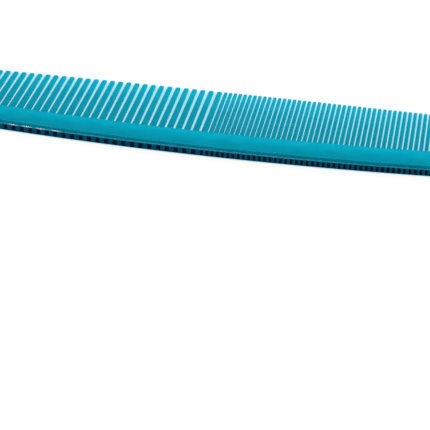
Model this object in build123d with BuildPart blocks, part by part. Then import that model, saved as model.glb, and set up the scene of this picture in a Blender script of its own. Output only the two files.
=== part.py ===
from build123d import *
import math
import os

# Two-pitch grooming comb with a sandwich spine.
# X runs along the spine, coarse teeth at -X and fine teeth at +X.
# Y runs from the spine's outer edge to the tooth tips, and Z is up from the face it lies on.
# The origin is under the middle of the comb's box, on the surface it rests on. Millimetres.

# Driving dimensions: teeth
coarse_count = 29  # coarse teeth beyond the tooth at the change of pitch
coarse_pitch = 3.0
coarse_width = 1.82
coarse_tip_width = 1.76
coarse_thickness = 1.65
coarse_tip_thickness = 0.85
coarse_corner = 0.2
coarse_shank_width = 1.5  # inside the spine
fine_count = 50
fine_pitch = 1.755
fine_width = 1.3
fine_tip_width = 1.19
fine_thickness = 1.3
fine_tip_thickness = 0.8
fine_corner = 0.2
fine_shank_width = 0.88
change_gap = 0.67  # from the last coarse tooth to the first fine one
blade_embed = 2.3  # how far each blade runs back into its shank
tooth_length = 28.9  # from the spine to the tip, at the middle of the comb
tip_line_radius = 4600.0  # the tips lie on this shallow arc, highest at the middle
fine_per_set = 5  # fine teeth that share one file

# Driving dimensions: spine
spine_height = 9.4  # from the outer edge to the tooth roots
spine_radius = 975.0  # bow of the root line, its hollow side towards the tips
front_thickness = 1.35  # front rail at its crest
front_crest_inset = 3.0  # the crest line lies this far from the roots
front_edge_drop = 0.45  # how much lower the front face is at the outer edge than at its crest
front_root_drop = 0.75  # and at the roots
front_root_round = 0.3
front_edge_round = 0.5
flange_depth = 0.75  # the front rail's outer edge turns down this far over the shank ends
flange_thickness = 0.2
flange_clearance = 0.15
lip_height = 0.5  # bead along the flange's free edge
lip_out = 0.15
shank_thickness = 3.15
rear_thickness = 0.5
rear_round = 0.2
rear_edge_land = 0.1  # the rear rail's outer edge is bevelled below this
rear_bevel_run = 0.65
shank_setback = 0.9  # the thick shank stops this far inside the root line
key_height = 0.5
key_width = 1.4
key_clearance = 0.05

# Driving dimensions: ends
guard_width = 5.7
guard_thickness = 2.4  # of the end tooth
guard_seam = 0.1  # between the rear rail's root edge and the guard's end tooth
guard_edge_round = 0.35
cap_width = 3.2  # the part of a guard that covers the rails' ends
cap_clearance = 0.05
cap_lap = 0.9  # how far the cap runs up the blade, past the root line
guard_outer_round = 3.4
guard_inner_round = 1.4
guard_tip_flat = 0.3  # least straight length kept between those two rounds
spine_corner_round = 3.0
rivet_radius = 0.6
rivet_head_radius = 1.0
rivet_head_height = 0.35
rivet_depth_in_front = 0.55
rivet_spacing = 4.6  # between the two rivets at one end, across the spine
rivet_clearance = 0.03
rivet_inset = 1.4  # from the end of the rails to the rivets

# Heights of the layers
rail_top_of_rear = rear_thickness
rail_under_front = rear_thickness + shank_thickness
comb_thickness = rail_under_front + front_thickness
tooth_mid_z = rail_under_front - coarse_thickness / 2
edge_top = comb_thickness - front_edge_drop
flange_bottom = rail_under_front - flange_depth

# Places along the spine, first from the tooth at the change of pitch
coarse_gap = coarse_pitch - coarse_width
fine_gap = fine_pitch - fine_width
first_fine = coarse_width / 2 + change_gap + fine_width / 2
coarse_run = coarse_count * coarse_pitch + coarse_width / 2 + coarse_gap
fine_run = first_fine + (fine_count - 1) * fine_pitch + fine_width / 2 + fine_gap
root_length = coarse_run + fine_run + 2 * guard_width
root_end_x = root_length / 2
change_x = coarse_run + guard_width - root_end_x
comb_height = spine_height + lip_out + tooth_length

# Heights across the comb, at its middle
edge_mid_y = lip_out - comb_height / 2
butt_mid_y = edge_mid_y + flange_thickness + flange_clearance
root_mid_y = edge_mid_y + spine_height
tip_mid_y = root_mid_y + tooth_length
arc_centre_y = root_mid_y + spine_radius
key_mid_y = edge_mid_y + spine_height / 2
bow_axis = Axis((0, arc_centre_y, 0), (0, 0, 1))

os.makedirs("parts", exist_ok=True)


def bow_line(mid_y, x):
    """Y at x of the spine arc that passes through mid_y at the middle of the comb."""
    radius = arc_centre_y - mid_y
    return arc_centre_y - math.sqrt(radius**2 - x**2)


def bow_tangent(x):
    """Direction of the spine's bow at x."""
    angle = math.asin(x / spine_radius)
    return (math.cos(angle), math.sin(angle), 0)


def tip_line(x):
    """Y of the tooth tips at x."""
    return tip_mid_y - tip_line_radius + math.sqrt(tip_line_radius**2 - x**2)


def cut_key_slot(x, width):
    """Cut the slot that sits over the rear rail's key, in the open part, at x."""
    seat = Plane(origin=(x, bow_line(key_mid_y, x), rail_top_of_rear), x_dir=bow_tangent(x), z_dir=(0, 0, 1))
    with BuildSketch(seat) as slot:
        Rectangle(2 * width, key_width + 2 * key_clearance)
    extrude(slot.sketch, amount=key_height + key_clearance, mode=Mode.SUBTRACT)


def tapering_outline(plane, centre, start, end, half_start, half_end):
    """Tapering outline with a round end, running along the plane's second direction."""
    with BuildSketch(plane) as outline:
        with BuildLine():
            Polyline(
                (centre - half_end, end - half_end),
                (centre - half_start, start),
                (centre + half_start, start),
                (centre + half_end, end - half_end),
            )
            ThreePointArc(
                (centre + half_end, end - half_end),
                (centre, end),
                (centre - half_end, end - half_end),
            )
        make_face()
    return outline.sketch


def make_tooth(x, width, tip_width, thickness, tip_thickness, corner, shank_width):
    """One tooth: a tapering blade with a domed tip, on a square shank with a key slot."""
    shank_end = bow_line(root_mid_y, x) - shank_setback
    butt = bow_line(butt_mid_y, x)
    blade_start = shank_end - blade_embed
    tip = tip_line(x)
    side_plane = Plane(origin=(x - width, 0, 0), x_dir=(0, 0, -1), z_dir=(1, 0, 0))
    with BuildPart() as tooth:
        with BuildSketch(Plane(origin=(x, blade_start, tooth_mid_z), x_dir=(1, 0, 0), z_dir=(0, 1, 0))):
            RectangleRounded(width, thickness, corner)
        extrude(amount=tip - blade_start)
        plan = tapering_outline(Plane.XY, x, blade_start, tip, width / 2, tip_width / 2)
        extrude(plan, amount=comb_thickness, mode=Mode.INTERSECT)
        side = tapering_outline(side_plane, -tooth_mid_z, blade_start, tip, thickness / 2, tip_thickness / 2)
        extrude(side, amount=2 * width, mode=Mode.INTERSECT)
        with BuildSketch(Plane(origin=(x, (butt + shank_end) / 2, rail_top_of_rear))):
            Rectangle(shank_width, shank_end - butt)
        extrude(amount=shank_thickness)
        cut_key_slot(x, width)
    return tooth.part


def bow_point(mid_y, angle):
    """Point at an angle along the bow, on the arc that passes through mid_y at the middle."""
    radius = arc_centre_y - mid_y
    return (radius * math.sin(angle), arc_centre_y - radius * math.cos(angle))


# Ends of the spine, as angles along its bow
end_angle = math.asin(root_end_x / spine_radius)
cap_angle = end_angle - cap_width / spine_radius
rail_angle = cap_angle - cap_clearance / spine_radius
rivet_angle = rail_angle - rivet_inset / spine_radius
rivet_places = [
    bow_point(key_mid_y + step, side * rivet_angle)
    for side in (-1, 1)
    for step in (-rivet_spacing / 2, rivet_spacing / 2)
]

# The rails' profiles are drawn on a plane through the bow's axis, so across() measures from that axis
bow_start = Plane(
    origin=(0, arc_centre_y, 0),
    x_dir=(math.sin(rail_angle), math.cos(rail_angle), 0),
    z_dir=(math.cos(rail_angle), -math.sin(rail_angle), 0),
)


def across(mid_y):
    """Place on the profile plane of what passes through mid_y at the middle of the comb."""
    return mid_y - arc_centre_y


def profile_corner(profile, side, level):
    """Corner of a profile: side 0 is the outer edge and -1 the roots, level 0 is low and -1 high."""
    return profile.vertices().group_by(Axis.X)[side].sort_by(Axis.Y)[level]


# Front rail: its face falls away on both sides of a crest line, and its outer edge turns down
# over the shank ends and finishes in a fine bead
crest_mid_y = root_mid_y - front_crest_inset
with BuildPart() as front_rail:
    with BuildSketch(bow_start) as front_profile:
        with BuildLine():
            TangentArc(
                (across(crest_mid_y), comb_thickness),
                (across(root_mid_y), comb_thickness - front_root_drop),
                tangent=(1, 0),
            )
            Polyline(
                (across(root_mid_y), comb_thickness - front_root_drop),
                (across(root_mid_y), rail_under_front),
                (across(edge_mid_y + flange_thickness), rail_under_front),
                (across(edge_mid_y + flange_thickness), flange_bottom),
                (across(edge_mid_y), flange_bottom),
                (across(edge_mid_y), edge_top),
            )
            TangentArc(
                (across(crest_mid_y), comb_thickness),
                (across(edge_mid_y), edge_top),
                tangent=(-1, 0),
            )
        make_face()
        fillet(profile_corner(front_profile, 0, -1), front_edge_round)
        fillet(profile_corner(front_profile, -1, -1), front_root_round)
        with Locations((across(edge_mid_y), flange_bottom + lip_height / 2)):
            Rectangle(2 * lip_out, lip_height)
    revolve(axis=bow_axis, revolution_arc=math.degrees(2 * rail_angle))
    for place in rivet_places:
        with BuildSketch(Plane.XY.offset(rail_under_front)):
            with Locations(place):
                Circle(rivet_radius + rivet_clearance)
        extrude(amount=rivet_depth_in_front + rivet_clearance, mode=Mode.SUBTRACT)
front_rail.part.label = "front_rail"
export_step(front_rail.part, "parts/front_rail.step")

# Rear rail: a thin strip with a bevelled outer edge, and a key along its inner face that the
# shanks sit over
with BuildPart() as rear_rail:
    with BuildSketch(bow_start) as rear_profile:
        with BuildLine():
            Polyline(
                (across(butt_mid_y), rear_thickness),
                (across(butt_mid_y), rear_thickness - rear_edge_land),
                (across(butt_mid_y + rear_bevel_run), 0),
                (across(root_mid_y), 0),
                (across(root_mid_y), rear_thickness),
                close=True,
            )
        make_face()
        fillet(profile_corner(rear_profile, -1, 0), rear_round)
        with Locations((across(key_mid_y), rear_thickness + key_height / 2)):
            Rectangle(key_width, key_height)
    revolve(axis=bow_axis, revolution_arc=math.degrees(2 * rail_angle))
    for place in rivet_places:
        with Locations(Location((*place, 0), (180, 0, 0))):
            CounterBoreHole(
                rivet_radius + rivet_clearance,
                rivet_head_radius + rivet_clearance,
                rivet_head_height,
                depth=2 * comb_thickness,
            )
rear_rail.part.label = "rear_rail"
export_step(rear_rail.part, "parts/rear_rail.step")


def plate(corners, low, high, rounds=()):
    """Plate with the given corners, from one height to another, with some corners rounded in plan."""
    with BuildPart() as slab:
        with BuildSketch(Plane.XY.offset(low)) as plan:
            with BuildLine():
                Polyline(*corners, corners[0])
            make_face()
            for corner, radius in rounds:
                fillet(plan.vertices().sort_by_distance(corner)[0], radius)
        extrude(amount=high - low)
    return slab.part


# Guards: a broad end tooth in the same layer as the blades. Its foot closes the spine between
# the rails, and its cap covers the rails' ends.
for side, end_name in ((-1, "left"), (1, "right")):
    outer_x = side * root_end_x
    inner_x = outer_x - side * guard_width
    outer_root = (outer_x, bow_line(root_mid_y, outer_x) + guard_seam)
    inner_root = (inner_x, bow_line(root_mid_y, inner_x) + guard_seam)
    outer_tip = (outer_x, tip_line(outer_x))
    inner_tip = (inner_x, tip_line(outer_x))
    outer_edge = bow_point(edge_mid_y, side * end_angle)
    cap_edge = bow_point(edge_mid_y, side * cap_angle)
    foot_edge = bow_point(butt_mid_y, side * cap_angle)
    foot_inner_edge = (inner_x, bow_line(butt_mid_y, inner_x))
    cap_top = (outer_x, outer_root[1] + cap_lap)
    cap_top_inner = bow_point(root_mid_y + guard_seam + cap_lap, side * cap_angle)
    outer_round = min(guard_outer_round, guard_width - guard_inner_round - guard_tip_flat)
    blade = plate(
        (outer_root, outer_tip, inner_tip, inner_root),
        rail_under_front - guard_thickness,
        rail_under_front,
        ((outer_tip, outer_round), (inner_tip, guard_inner_round)),
    )
    foot = plate((outer_root, foot_edge, foot_inner_edge, inner_root), rail_top_of_rear, rail_under_front)
    cap = plate(
        (cap_top, outer_edge, cap_edge, cap_top_inner), 0, edge_top, ((outer_edge, spine_corner_round),)
    )
    with BuildPart() as guard:
        add(blade)
        rims = guard.edges().filter_by(Axis.Z, reverse=True)
        fillet(rims.filter_by(lambda e: e.center().Y > outer_root[1] + guard_seam), guard_edge_round)
        add(foot)
        add(cap)
        rim_start = side * cap_edge[0] + cap_lap
        top_edges = guard.edges().group_by(Axis.Z)[-1]
        fillet(top_edges.filter_by(lambda e: side * e.center().X > rim_start), guard_edge_round)
        cut_key_slot(inner_x + side * guard_width / 2, guard_width)
        for place in rivet_places:
            with Locations((*place, rail_under_front)):
                Hole(rivet_radius + rivet_clearance)
    guard.part.label = end_name + "_guard"
    export_step(guard.part, "parts/" + end_name + "_guard.step")

# Rivets: flush heads in the rear rail, blind ends in the front rail
with BuildPart() as rivets:
    for place in rivet_places:
        with BuildSketch(Plane.XY):
            with Locations(place):
                Circle(rivet_head_radius)
        extrude(amount=rivet_head_height)
        with BuildSketch(Plane.XY):
            with Locations(place):
                Circle(rivet_radius)
        extrude(amount=rail_under_front + rivet_depth_in_front)
rivets.part.label = "rivets"
export_step(rivets.part, "parts/rivets.step")

# Coarse teeth, each a piece of its own, counted outwards from the change of pitch
for number in range(coarse_count + 1):
    with BuildPart() as coarse_tooth:
        add(make_tooth(
            change_x - number * coarse_pitch,
            coarse_width,
            coarse_tip_width,
            coarse_thickness,
            coarse_tip_thickness,
            coarse_corner,
            coarse_shank_width,
        ))
    tooth_name = f"coarse_tooth_{number:02d}" if number else "change_tooth"
    coarse_tooth.part.label = tooth_name
    export_step(coarse_tooth.part, "parts/" + tooth_name + ".step")

# Fine teeth, in sets of separate pieces
for first in range(0, fine_count, fine_per_set):
    fine_set = [
        make_tooth(
            change_x + first_fine + number * fine_pitch,
            fine_width,
            fine_tip_width,
            fine_thickness,
            fine_tip_thickness,
            fine_corner,
            fine_shank_width,
        )
        for number in range(first, min(first + fine_per_set, fine_count))
    ]
    with BuildPart() as fine_teeth:
        add(fine_set)
    set_name = f"fine_teeth_{first // fine_per_set + 1:02d}"
    fine_teeth.part.label = set_name
    export_step(fine_teeth.part, "parts/" + set_name + ".step")
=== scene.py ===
import math

import bmesh
import bpy
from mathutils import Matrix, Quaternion, Vector


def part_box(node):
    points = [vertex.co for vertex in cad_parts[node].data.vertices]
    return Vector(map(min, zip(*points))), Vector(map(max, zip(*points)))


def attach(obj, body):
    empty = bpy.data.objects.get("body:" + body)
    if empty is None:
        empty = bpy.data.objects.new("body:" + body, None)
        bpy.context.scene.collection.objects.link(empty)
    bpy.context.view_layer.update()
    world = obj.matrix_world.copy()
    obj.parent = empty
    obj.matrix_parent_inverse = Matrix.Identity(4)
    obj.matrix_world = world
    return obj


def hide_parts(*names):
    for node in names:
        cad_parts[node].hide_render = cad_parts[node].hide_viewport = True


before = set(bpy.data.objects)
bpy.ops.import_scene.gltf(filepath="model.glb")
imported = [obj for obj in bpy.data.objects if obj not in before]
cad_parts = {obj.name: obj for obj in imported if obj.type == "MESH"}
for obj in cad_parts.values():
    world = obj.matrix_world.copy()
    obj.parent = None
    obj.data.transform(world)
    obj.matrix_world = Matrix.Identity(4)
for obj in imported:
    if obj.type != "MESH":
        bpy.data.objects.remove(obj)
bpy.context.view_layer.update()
mm = 0.001
print("frame loaded:", len(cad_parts), "nodes")


def feed(links, value, socket):
    # an output is linked, a plain value is set on the socket itself
    if isinstance(value, bpy.types.NodeSocket):
        links.new(value, socket)
    else:
        socket.default_value = value


def remap(nodes, links, value, start, end, low=0, high=1):
    part = nodes.new("ShaderNodeMapRange")
    part.inputs["From Min"].default_value = start
    part.inputs["From Max"].default_value = end
    part.inputs["To Min"].default_value = low
    part.inputs["To Max"].default_value = high
    links.new(value, part.inputs["Value"])
    return part


def mixColours(nodes, links, factor, first, second, how="MIX"):
    mixed = nodes.new("ShaderNodeMix")
    mixed.data_type, mixed.blend_type = "RGBA", how
    feed(links, factor, mixed.inputs["Factor"])
    feed(links, first, mixed.inputs["A"])
    feed(links, second, mixed.inputs["B"])
    return mixed.outputs["Result"]


def objectPlace(nodes):
    return nodes.new("ShaderNodeTexCoord").outputs["Object"]


def noise(nodes, links, scale, detail):
    cloud = nodes.new("ShaderNodeTexNoise")
    cloud.inputs["Scale"].default_value = scale
    cloud.inputs["Detail"].default_value = detail
    links.new(objectPlace(nodes), cloud.inputs["Vector"])
    return cloud.outputs["Fac"]


def axisOf(nodes, links, vector, axis):
    parts = nodes.new("ShaderNodeSeparateXYZ")
    links.new(vector, parts.inputs[0])
    return parts.outputs[axis]


bumpDistance = 0.1 * mm    # the relief that a strength of 1 stands for


def addBump(nodes, links, shader, height, strength):
    bump = nodes.new("ShaderNodeBump")
    bump.inputs["Strength"].default_value = strength
    bump.inputs["Distance"].default_value = bumpDistance
    links.new(height, bump.inputs["Height"])
    links.new(bump.outputs["Normal"], shader.inputs["Normal"])


def startMaterial(name):
    material = bpy.data.materials.new(name)
    material.use_nodes = True
    nodes, links = material.node_tree.nodes, material.node_tree.links
    return material, nodes, links, nodes["Principled BSDF"]


def openMaterial(material):
    # what is needed to add to a finished coat
    nodes, links = material.node_tree.nodes, material.node_tree.links
    shader = nodes["Principled BSDF"]
    return nodes, links, shader, shader.inputs["Base Color"].links[0].from_socket


bow = dict(
    rootRadius=975 * mm,    # the arc that the teeth's roots lie on
    shadeY=-9.825 * mm,     # middle of the arc that shades are measured from, just outside the roots
    steps=220,              # along the front rail
)
coating = dict(
    deep=(0.0005, 0.292, 0.410),    # where the coat lies thick
    thin=(0.0015, 0.330, 0.452),    # where it lies thin
    tintRange=(0.3, 0.7),           # part of the noise over which one turns into the other
    patches=190,                    # thick and thin patches per metre
    patchDetail=4,
    roughness=0.34,
    roughnessSpread=(-0.05, 0.07),
    specular=0.03,
    grain=2600,                     # bumps per metre, the peel of a powder coat
    grainDetail=2,
    grainDepth=0.05,
)
# shade painted into the coat, by distance from that arc in mm, outwards positive
bladeShades = (
    (-29, 1.0), (-25, 0.95), (-15, 0.75), (-5, 0.68), (0, 0.64), (4, 0.36),
    (8.7, (0.3, 0.36, 0.52)), (8.9, (0.43, 0.54, 0.68)),    # bluer in the spine and on the butts
)
# painted light and shade across the spine: lighter near the roots and on the flange, darker towards the
# outer edge
railShades = ((0, 0.68), (1.5, 0.78), (3, 0.79), (6, 0.645), (8.7, 0.565), (9.3, 1.0))
evenShade = ((-29, 0.85), (10, 0.85))


def distanceFromRoots(nodes, links):
    # mm outwards from the arc that shades are measured from
    span = nodes.new("ShaderNodeVectorMath")
    span.operation = "DISTANCE"
    span.inputs[1].default_value = (0, bow["shadeY"] + bow["rootRadius"], 0)
    links.new(objectPlace(nodes), span.inputs[0])
    away = remap(nodes, links, span.outputs["Value"], bow["rootRadius"], bow["rootRadius"] + mm)
    away.clamp = False
    return away.outputs["Result"]


def shadeRamp(nodes, links, value, shades):
    low, high = shades[0][0], shades[-1][0]
    part = remap(nodes, links, value, low, high)
    ramp = nodes.new("ShaderNodeValToRGB")
    stops = ramp.color_ramp.elements
    for i, (at, shade) in enumerate(shades):
        stop = stops[i] if i < 2 else stops.new(1)    # a new ramp already has two stops
        stop.position = (at - low) / (high - low)
        stop.color = (*shade, 1) if isinstance(shade, tuple) else (shade, shade, shade, 1)
    links.new(part.outputs["Result"], ramp.inputs["Fac"])
    return ramp.outputs["Color"]


def coatedSteel(name, shades, tone=1.0, roughness=coating["roughness"], specular=coating["specular"]):
    material, nodes, links, shader = startMaterial(name)
    shader.inputs["Specular IOR Level"].default_value = specular
    cloud = noise(nodes, links, coating["patches"], coating["patchDetail"])
    tint = nodes.new("ShaderNodeValToRGB")
    colours = (coating["deep"], coating["thin"])
    for stop, at, colour in zip(tint.color_ramp.elements, coating["tintRange"], colours):
        stop.position = at
        stop.color = [channel * tone for channel in colour] + [1]
    links.new(cloud, tint.inputs["Fac"])
    shade = shadeRamp(nodes, links, distanceFromRoots(nodes, links), shades)
    shaded = mixColours(nodes, links, 1, tint.outputs["Color"], shade, "MULTIPLY")
    links.new(shaded, shader.inputs["Base Color"])
    smoothest, roughest = (roughness + spread for spread in coating["roughnessSpread"])
    haze = remap(nodes, links, cloud, 0, 1, smoothest, roughest)
    links.new(haze.outputs["Result"], shader.inputs["Roughness"])
    peel = noise(nodes, links, coating["grain"], coating["grainDetail"])
    addBump(nodes, links, shader, peel, coating["grainDepth"])
    return material


rubbedSpots = dict(
    places=(-64.6, -59.6, -54.6, -49.2),    # mm along the comb, where the lip is rubbed bright
    halfLength=2.1,
    margin=4,
    metal=(0.90, 1.0, 1.0, 1),
)


def rubSpots(material):
    # bare metal shows on the lip at a few short spots
    nodes, links, shader, coat = openMaterial(material)
    low = rubbedSpots["places"][0] - rubbedSpots["margin"]
    high = rubbedSpots["places"][-1] + rubbedSpots["margin"]
    part = remap(nodes, links, axisOf(nodes, links, objectPlace(nodes), "X"), low * mm, high * mm)
    ramp = nodes.new("ShaderNodeValToRGB")
    stops = ramp.color_ramp.elements
    stops[0].color = stops[1].color = (0, 0, 0, 1)
    for middle in rubbedSpots["places"]:
        for step, bare in ((-1, 0), (0, 1), (1, 0)):
            stop = stops.new((middle + step * rubbedSpots["halfLength"] - low) / (high - low))
            stop.color = (bare, bare, bare, 1)
    links.new(part.outputs["Result"], ramp.inputs["Fac"])
    links.new(ramp.outputs["Color"], shader.inputs["Metallic"])
    spotted = mixColours(nodes, links, ramp.outputs["Color"], coat, rubbedSpots["metal"])
    links.new(spotted, shader.inputs["Base Color"])


recessShade = dict(startZ=0.25 * mm, fullZ=0.4 * mm, colour=(0.004, 0.14, 0.34, 1))


def shadeRecess(material):
    # painted shade: the rear rail's inner side is painted dark between the shanks, where the rails shade it
    nodes, links, shader, coat = openMaterial(material)
    height = axisOf(nodes, links, objectPlace(nodes), "Z")
    part = remap(nodes, links, height, recessShade["startZ"], recessShade["fullZ"])
    darker = mixColours(nodes, links, part.outputs["Result"], coat, recessShade["colour"])
    links.new(darker, shader.inputs["Base Color"])


sides = dict(start=0.88, full=0.99, shade=1.7)    # painted light on the blades' sides, by how far a face leans over to the side


def paintSideLight(material):
    # painted light: the blades' sides are painted lighter than their faces, as if lit from the side
    nodes, links, shader, coat = openMaterial(material)
    normal = nodes.new("ShaderNodeNewGeometry").outputs["Normal"]
    lean = nodes.new("ShaderNodeMath")
    lean.operation = "ABSOLUTE"
    links.new(axisOf(nodes, links, normal, "X"), lean.inputs[0])
    part = remap(nodes, links, lean.outputs["Value"], sides["start"], sides["full"], 1, sides["shade"])
    lighter = nodes.new("ShaderNodeVectorMath")
    lighter.operation = "SCALE"
    links.new(coat, lighter.inputs[0])
    links.new(part.outputs["Result"], lighter.inputs["Scale"])
    links.new(lighter.outputs["Vector"], shader.inputs["Base Color"])


rivetMetal = dict(
    colour=(0.56, 0.58, 0.59, 1),
    scratches=5200,             # per metre
    scratchDetail=3,
    scratchDepth=0.12,
    roughness=(0.22, 0.48),     # from the smoothest spots to the roughest
)


def turnedSteel(name):
    material, nodes, links, shader = startMaterial(name)
    shader.inputs["Metallic"].default_value = 1
    shader.inputs["Base Color"].default_value = rivetMetal["colour"]
    scratch = noise(nodes, links, rivetMetal["scratches"], rivetMetal["scratchDetail"])
    haze = remap(nodes, links, scratch, 0, 1, *rivetMetal["roughness"])
    links.new(haze.outputs["Result"], shader.inputs["Roughness"])
    addBump(nodes, links, shader, scratch, rivetMetal["scratchDepth"])
    return material


bladeCoat = coatedSteel("bladeCoat", bladeShades, tone=1.09)
paintSideLight(bladeCoat)
railCoat = coatedSteel("railCoat", railShades, tone=1.25, roughness=0.42, specular=0.012)
# painted highlight: the lip's coat is made much lighter through its tone
lipCoat = coatedSteel("lipCoat", evenShade, tone=1.9, roughness=0.25, specular=0.5)
rubSpots(lipCoat)
guardCoat = coatedSteel("guardCoat", evenShade, roughness=0.4)
rearCoat = coatedSteel("rearCoat", evenShade, tone=0.92, roughness=0.44)
shadeRecess(rearCoat)
rivetSteel = turnedSteel("rivetSteel")
print("materials made")


smoothAngle = 32    # degrees, an edge sharper than this stays crisp


def loft(name, rings, material):
    # rings all have the same number of points; both ends are closed with one face
    bm = bmesh.new()
    rows = [[bm.verts.new(point) for point in ring] for ring in rings]
    for row, following in zip(rows, rows[1:]):
        for i in range(len(row)):
            j = (i + 1) % len(row)
            bm.faces.new((row[i], row[j], following[j], following[i]))
    bm.faces.new(list(reversed(rows[0])))
    bm.faces.new(rows[-1])
    bmesh.ops.recalc_face_normals(bm, faces=bm.faces)
    mesh = bpy.data.meshes.new(name)
    bm.to_mesh(mesh)
    bm.free()
    piece = bpy.data.objects.new(name, mesh)
    bpy.context.scene.collection.objects.link(piece)
    mesh.materials.append(material)
    for face in mesh.polygons:
        face.use_smooth = True
    mesh.set_sharp_from_angle(angle=math.radians(smoothAngle))
    return piece


blade = dict(
    coarse=dict(thickness=1.65 * mm, tipWidth=1.76 * mm, tipThickness=0.85 * mm),
    fine=dict(thickness=1.3 * mm, tipWidth=1.19 * mm, tipThickness=0.8 * mm),
    corner=0.2 * mm,         # round along the blade's four long edges
    cornerLimit=0.98,        # no corner takes more than this share of half the section
    cornerSteps=4,
    lengthSteps=6,
    domeSteps=8,
    domeEnd=0.05,            # the dome's last ring, as a share of the tip's half width
    domeFlat=0.3,            # share of the tip's thickness left at the very end
)
shank = dict(
    bevel=0.1 * mm,
    bevelMiddle=0.3,         # where the bevel's middle ring lies, as a share of it
    footLayer=0.02 * mm,     # only the shank has points this close to the lowest one
    keyHeight=0.55 * mm,     # the slot over the rear rail's key
    keyWidth=1.5 * mm,
    keyPlace=4.35 * mm,      # from the butt to the middle of that slot
    clearGap=0.3 * mm,       # teeth are told apart by gaps at least this wide
    leastWidth=0.7 * mm,
    sliver=0.01 * mm,        # length in which a section steps to another
)


def teethInNode(node):
    # each tooth's own points, told apart by the clear gaps between them along x
    points = sorted((v.co.copy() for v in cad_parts[node].data.vertices), key=lambda p: p.x)
    groups = [[points[0]]]
    for point in points[1:]:
        gap, width = point.x - groups[-1][-1].x, point.x - groups[-1][0].x
        if gap > shank["clearGap"] and width > shank["leastWidth"]:
            groups.append([])
        groups[-1].append(point)
    return groups


def roundedRing(y, middleX, halfWide, low, high, corner):
    # points round a rounded rectangle in the plane at y
    middleZ, halfTall = (low + high) / 2, (high - low) / 2
    corner = min(corner, halfWide * blade["cornerLimit"], halfTall * blade["cornerLimit"])
    ring = []
    for quarter, (sideX, sideZ) in enumerate(((1, 1), (-1, 1), (-1, -1), (1, -1))):
        for i in range(blade["cornerSteps"] + 1):
            turn = math.pi / 2 * (quarter + i / blade["cornerSteps"])
            x = sideX * (halfWide - corner) + corner * math.cos(turn)
            z = sideZ * (halfTall - corner) + corner * math.sin(turn)
            ring.append((middleX + x, y, middleZ + z))
    return ring


def shankRings(low, high, middleX, half, end):
    # from the bevelled butt over the key's slot to the bevelled inner end
    bevel, sliver = shank["bevel"], shank["sliver"]
    keyMiddle, keyHalf = low.y + shank["keyPlace"], shank["keyWidth"] / 2
    slotTop = low.z + shank["keyHeight"]
    sections = (    # y, how far the section is drawn in, its lowest z
        (low.y, bevel, low.z),
        (low.y + bevel * shank["bevelMiddle"], bevel * shank["bevelMiddle"], low.z),
        (low.y + bevel, 0, low.z),
        (keyMiddle - keyHalf, 0, low.z),
        (keyMiddle - keyHalf + sliver, 0, slotTop),
        (keyMiddle + keyHalf - sliver, 0, slotTop),
        (keyMiddle + keyHalf, 0, low.z),
        (end - bevel, 0, low.z),
        (end, bevel, low.z),
    )
    return [
        roundedRing(y, middleX, half - inset, bottom + inset, high.z - inset, bevel)
        for y, inset, bottom in sections
    ]


def bladeRings(start, end, middleX, middleZ, half, size):
    # a straight taper to the tip's width, then a dome
    tipRadius = size["tipWidth"] / 2
    domeStart = end - tipRadius
    rings = []
    for i in range(blade["lengthSteps"] + 1):
        t = i / blade["lengthSteps"]
        wide = half + (tipRadius - half) * t
        tall = (size["thickness"] + (size["tipThickness"] - size["thickness"]) * t) / 2
        y = start + (domeStart - start) * t
        rings.append(roundedRing(y, middleX, wide, middleZ - tall, middleZ + tall, blade["corner"]))
    for i in range(1, blade["domeSteps"] + 1):
        turn = math.pi / 2 * i / blade["domeSteps"]
        shrink = max(math.cos(turn), blade["domeEnd"])
        tall = size["tipThickness"] / 2 * (blade["domeFlat"] + (1 - blade["domeFlat"]) * shrink)
        y = domeStart + tipRadius * math.sin(turn)
        wide = tipRadius * shrink
        rings.append(roundedRing(y, middleX, wide, middleZ - tall, middleZ + tall, blade["corner"]))
    return rings


def buildTooth(name, points, kind):
    low = Vector(min(p[i] for p in points) for i in range(3))
    high = Vector(max(p[i] for p in points) for i in range(3))
    foot = [p for p in points if p.z < low.z + shank["footLayer"]]
    shankEnd = max(p.y for p in foot)
    shankHalf = (max(p.x for p in foot) - min(p.x for p in foot)) / 2
    middleX = (low.x + high.x) / 2
    middleZ = high.z - blade["coarse"]["thickness"] / 2    # both kinds lie about the same middle
    rings = shankRings(low, high, middleX, shankHalf, shankEnd)
    bladeStart, bladeHalf = shankEnd + shank["sliver"], (high.x - low.x) / 2
    rings += bladeRings(bladeStart, high.y, middleX, middleZ, bladeHalf, blade[kind])
    tooth = loft(name, rings, bladeCoat)
    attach(tooth, "root")
    return tooth


for node in sorted(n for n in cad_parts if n.startswith("coarse_tooth") or n == "change_tooth"):
    first, *others = node.split("_")
    pieceName = first + "".join(word.title() for word in others)
    tooth = buildTooth(pieceName, teethInNode(node)[0], "coarse")
    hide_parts(node)
for node in sorted(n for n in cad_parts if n.startswith("fine_teeth")):
    for i, points in enumerate(teethInNode(node)):
        tooth = buildTooth("fineTooth%s_%d" % (node[-2:], i + 1), points, "fine")
        if i == 0:
            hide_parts(node)
print("teeth built")


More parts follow.
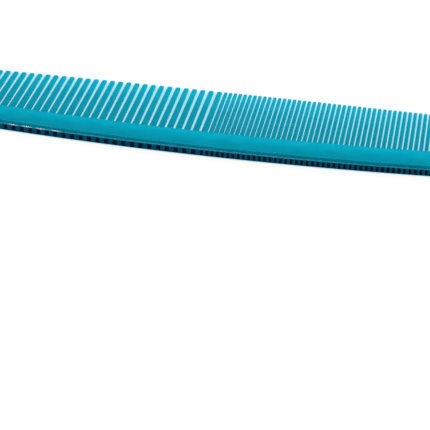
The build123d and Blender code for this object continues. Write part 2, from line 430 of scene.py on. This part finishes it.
frontRail = dict(
    height=9.4 * mm,
    crestInset=3.0 * mm,        # from the roots to the crest line
    edgeDrop=0.45 * mm,         # how much lower the face is at the outer edge
    rootDrop=0.75 * mm,         # and at the roots
    rootRound=0.3 * mm,
    rootSink=0.75,              # how far the root round's middle lies below the face, in its radii
    rootSweep=(0, 62, 7),       # degrees from, degrees to, steps
    edgeRound=0.5 * mm,
    edgeSink=0.94,
    edgeSweep=(98, 180, 9),
    rootSteps=16,               # between the roots and the crest
    edgeSteps=12,               # between the crest and the outer edge
    underside=1.35 * mm,        # below the crest
    flangeDepth=0.75 * mm,
    flangeThickness=0.2 * mm,
    flangeBreak=0.03 * mm,
    lipHeight=0.5 * mm,
    lipOut=0.15 * mm,
    lipRound=0.8,               # share of lipOut
    lipSteps=5,
    lipBevel=(0.02 * mm, 0.03 * mm),    # out and up, in the corner above the lip
    lipCoatFrom=0.1,            # share of lipOut past which the lip's painted highlight starts
    edgeBreak=0.06 * mm,        # at the foot of the root edge
)


def arcPoints(centre, radius, fromDegrees, toDegrees, steps):
    out = []
    for i in range(steps + 1):
        turn = math.radians(fromDegrees + (toDegrees - fromDegrees) * i / steps)
        out.append((centre[0] + radius * math.cos(turn), centre[1] + radius * math.sin(turn)))
    return out


def sweepBow(name, profile, rootY, endX, material):
    # profile points are (y from the root line, z); each keeps its distance from the bow's middle
    radius = bow["rootRadius"]
    centreY = rootY + radius
    endTurn = math.asin(endX / radius)
    rings = []
    for i in range(bow["steps"] + 1):
        turn = -endTurn + 2 * endTurn * i / bow["steps"]
        rings.append([
            ((radius - y) * math.sin(turn), centreY - (radius - y) * math.cos(turn), z)
            for y, z in profile
        ])
    return loft(name, rings, material)


def frontProfile(top):
    # y is measured from the root line, negative towards the outer edge
    s = frontRail
    outer, crest = -s["height"], -s["crestInset"]
    under = top - s["underside"]
    flangeBottom = under - s["flangeDepth"]
    rootTop, edgeTop = top - s["rootDrop"], top - s["edgeDrop"]
    rootRound, edgeRound, edgeBreak = s["rootRound"], s["edgeRound"], s["edgeBreak"]
    points = [(-edgeBreak, under), (0, under + edgeBreak)]
    points += arcPoints((-rootRound, rootTop - rootRound * s["rootSink"]), rootRound, *s["rootSweep"])
    for i in range(1, s["rootSteps"] + 1):
        away = (s["crestInset"] - rootRound / 2) * (1 - i / s["rootSteps"])
        points.append((crest + away, top - s["rootDrop"] * (away / s["crestInset"]) ** 2))
    span = s["height"] - s["crestInset"]
    for i in range(1, s["edgeSteps"] + 1):
        away = (span - edgeRound) * i / s["edgeSteps"]
        points.append((crest - away, top - s["edgeDrop"] * (away / span) ** 2))
    edgeCentre = (outer + edgeRound, edgeTop - edgeRound * s["edgeSink"])
    points += arcPoints(edgeCentre, edgeRound, *s["edgeSweep"])
    lipTop, lipRound = flangeBottom + s["lipHeight"], s["lipOut"] * s["lipRound"]
    lipMiddle = outer - s["lipOut"] + lipRound
    bevelOut, bevelUp = s["lipBevel"]
    points += [(outer, lipTop + bevelUp), (outer - bevelOut, lipTop)]
    points += arcPoints((lipMiddle, lipTop - lipRound), lipRound, 90, 180, s["lipSteps"])
    points += arcPoints((lipMiddle, flangeBottom + lipRound), lipRound, 180, 270, s["lipSteps"])
    inner, flangeBreak = outer + s["flangeThickness"], s["flangeBreak"]
    points += [(inner - flangeBreak, flangeBottom), (inner, flangeBottom + flangeBreak), (inner, under)]
    return points


def rootLineEnd(node, rootY):
    # how far along x the root line runs on a rail, found from the rail's furthest outer corner
    points = [v.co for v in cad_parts[node].data.vertices]
    furthest = max(points, key=lambda p: p.x)
    centreY = rootY + bow["rootRadius"]
    return bow["rootRadius"] * furthest.x / math.hypot(furthest.x, centreY - furthest.y)


def paintLip(rail, rootY):
    # the lip gets a much lighter coat of its own, a painted highlight along its bead
    rail.data.materials.append(lipCoat)
    lipStart = frontRail["height"] + frontRail["lipOut"] * frontRail["lipCoatFrom"]
    for face in rail.data.polygons:
        across = math.hypot(face.center.x, face.center.y - rootY - bow["rootRadius"]) - bow["rootRadius"]
        if across > lipStart:
            face.material_index = 1


spineLow, spineHigh = (Vector(corner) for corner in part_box("front_rail"))
railRootY = spineLow.y + frontRail["lipOut"] + frontRail["height"]
railEnd = rootLineEnd("front_rail", railRootY)
rail = sweepBow("frontRail", frontProfile(spineHigh.z), railRootY, railEnd, railCoat)
paintLip(rail, railRootY)
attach(rail, "root")
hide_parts("front_rail")

carriedOver = dict(rear_rail=rearCoat, left_guard=guardCoat, right_guard=guardCoat, rivets=rivetSteel)
for node, material in carriedOver.items():
    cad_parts[node].data.materials.clear()
    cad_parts[node].data.materials.append(material)
print("rails, guards and rivets ready")


studio = dict(
    floorSize=3.0,
    floorSeen=(1, 1, 1, 1),                 # the open floor and the backdrop, to the camera alone
    floorShade=0.06,                        # how much of the comb's shadow shows on it
    floorShadow=(0.95, 0.95, 0.95, 1),
    floorUnder=(0.42, 0.77, 0.87, 1),       # painted shadow in the comb's colour, under the comb, to the camera alone
    underX=(97 * mm, 91 * mm),              # where that colour starts and is full, along the comb
    underFar=(25.5 * mm, 20.5 * mm),        # the same past the tips
    underNear=(9.2, 8.2),                   # and in mm outwards from the arc of the shades
    floorBounce=(0.30, 0.31, 0.33, 1),      # the floor that lights the comb from below
    worldColour=(0.93, 0.97, 1.0, 1),
    worldStrength=0.05,
)


def pickForCamera(nodes, links, others, camera):
    # one shader for what the camera sees itself, another for light on its way
    ray = nodes.new("ShaderNodeLightPath")
    pick = nodes.new("ShaderNodeMixShader")
    links.new(ray.outputs["Is Camera Ray"], pick.inputs["Fac"])
    links.new(others.outputs[0], pick.inputs[1])
    links.new(camera.outputs[0], pick.inputs[2])
    return pick.outputs[0]


def underShade(nodes, links):
    # mask of the painted shadow on the floor: 1 under the comb and just past its tips, fading to 0 around it
    x = axisOf(nodes, links, objectPlace(nodes), "X")
    y = axisOf(nodes, links, objectPlace(nodes), "Y")
    outwards = distanceFromRoots(nodes, links)
    endX, fullX = studio["underX"]
    shade = 1
    for value, (start, full) in (
        (x, (-endX, -fullX)), (x, (endX, fullX)), (y, studio["underFar"]), (outwards, studio["underNear"]),
    ):
        side = remap(nodes, links, value, start, full)
        side.interpolation_type = "SMOOTHSTEP"
        both = nodes.new("ShaderNodeMath")
        both.operation = "MULTIPLY"
        feed(links, shade, both.inputs[0])
        links.new(side.outputs["Result"], both.inputs[1])
        shade = both.outputs["Value"]
    return shade


def makeFloor():
    mesh = bpy.data.meshes.new("floor")
    half = studio["floorSize"] / 2
    corners = [(-half, -half, 0), (half, -half, 0), (half, half, 0), (-half, half, 0)]
    mesh.from_pydata(corners, [], [(0, 1, 2, 3)])
    floor = bpy.data.objects.new("floor", mesh)
    bpy.context.scene.collection.objects.link(floor)
    material, nodes, links = startMaterial("paleFloor")[:3]
    nodes.clear()
    plain = nodes.new("ShaderNodeBsdfDiffuse")
    plain.inputs["Color"].default_value = studio["floorBounce"]
    seen = nodes.new("ShaderNodeEmission")
    shade = underShade(nodes, links)
    colour = mixColours(nodes, links, shade, studio["floorSeen"], studio["floorUnder"])
    links.new(colour, seen.inputs["Color"])
    shadow = nodes.new("ShaderNodeBsdfDiffuse")
    shadow.inputs["Color"].default_value = studio["floorShadow"]
    soft = nodes.new("ShaderNodeMixShader")
    soft.inputs["Fac"].default_value = studio["floorShade"]
    links.new(seen.outputs[0], soft.inputs[1])
    links.new(shadow.outputs[0], soft.inputs[2])
    out = nodes.new("ShaderNodeOutputMaterial")
    links.new(pickForCamera(nodes, links, plain, soft), out.inputs["Surface"])
    mesh.materials.append(material)


def makeWorld():
    world = bpy.data.worlds.new("studioWorld")
    bpy.context.scene.world = world
    world.use_nodes = True
    nodes, links = world.node_tree.nodes, world.node_tree.links
    sky = nodes["Background"]
    sky.inputs["Color"].default_value = studio["worldColour"]
    sky.inputs["Strength"].default_value = studio["worldStrength"]
    backdrop = nodes.new("ShaderNodeBackground")    # the camera sees plain white past the floor
    backdrop.inputs["Color"].default_value = studio["floorSeen"]
    links.new(pickForCamera(nodes, links, sky, backdrop), nodes["World Output"].inputs["Surface"])


# sizes and places in metres, power in watts
lamps = dict(
    key=dict(size=0.6, power=15.0, place=(0.85, 0.45, 0.75), colour=(1, 1, 1)),
    top=dict(size=0.7, power=5.5, place=(-0.25, 0.12, 0.80), colour=(1, 1, 1)),
    front=dict(size=0.5, power=1.35, place=(-0.15, -0.75, 0.25), colour=(0.88, 0.96, 1)),
)


def makeLamps():
    # each is a soft square that faces the comb
    for name, lamp in lamps.items():
        light = bpy.data.lights.new(name, "AREA")
        light.shape = "SQUARE"
        light.size = lamp["size"]
        light.energy = lamp["power"]
        light.color = lamp["colour"]
        stand = bpy.data.objects.new(name, light)
        stand.location = lamp["place"]
        stand.rotation_euler = (-Vector(lamp["place"])).to_track_quat("-Z", "Y").to_euler()
        bpy.context.scene.collection.objects.link(stand)


# angles in degrees, distances in metres, lens and sensor in mm
cameraRig = dict(
    aim=(0.01313, -0.0551, 0.00347),    # a point in front of the comb
    azimuth=11.37,
    elevation=35.64,
    roll=0.15,
    distance=0.3944,
    lens=107.9,
    sensor=36,
    nearest=0.01,
)


def makeCamera():
    rig = cameraRig
    around, above = math.radians(rig["azimuth"]), math.radians(rig["elevation"])
    back = Vector((math.sin(around) * math.cos(above), -math.cos(around) * math.cos(above), math.sin(above)))
    lens = bpy.data.cameras.new("camera")
    lens.lens = rig["lens"]
    lens.sensor_width = rig["sensor"]
    lens.clip_start = rig["nearest"]
    camera = bpy.data.objects.new("camera", lens)
    camera.location = Vector(rig["aim"]) + back * rig["distance"]
    camera.rotation_mode = "QUATERNION"
    facing = (-back).to_track_quat("-Z", "Y")
    camera.rotation_quaternion = facing @ Quaternion((0, 0, 1), math.radians(rig["roll"]))
    bpy.context.scene.collection.objects.link(camera)
    bpy.context.scene.camera = camera


makeFloor()
makeWorld()
makeLamps()
makeCamera()
bpy.context.scene.view_settings.view_transform = "Standard"
print("stage, light and camera ready")
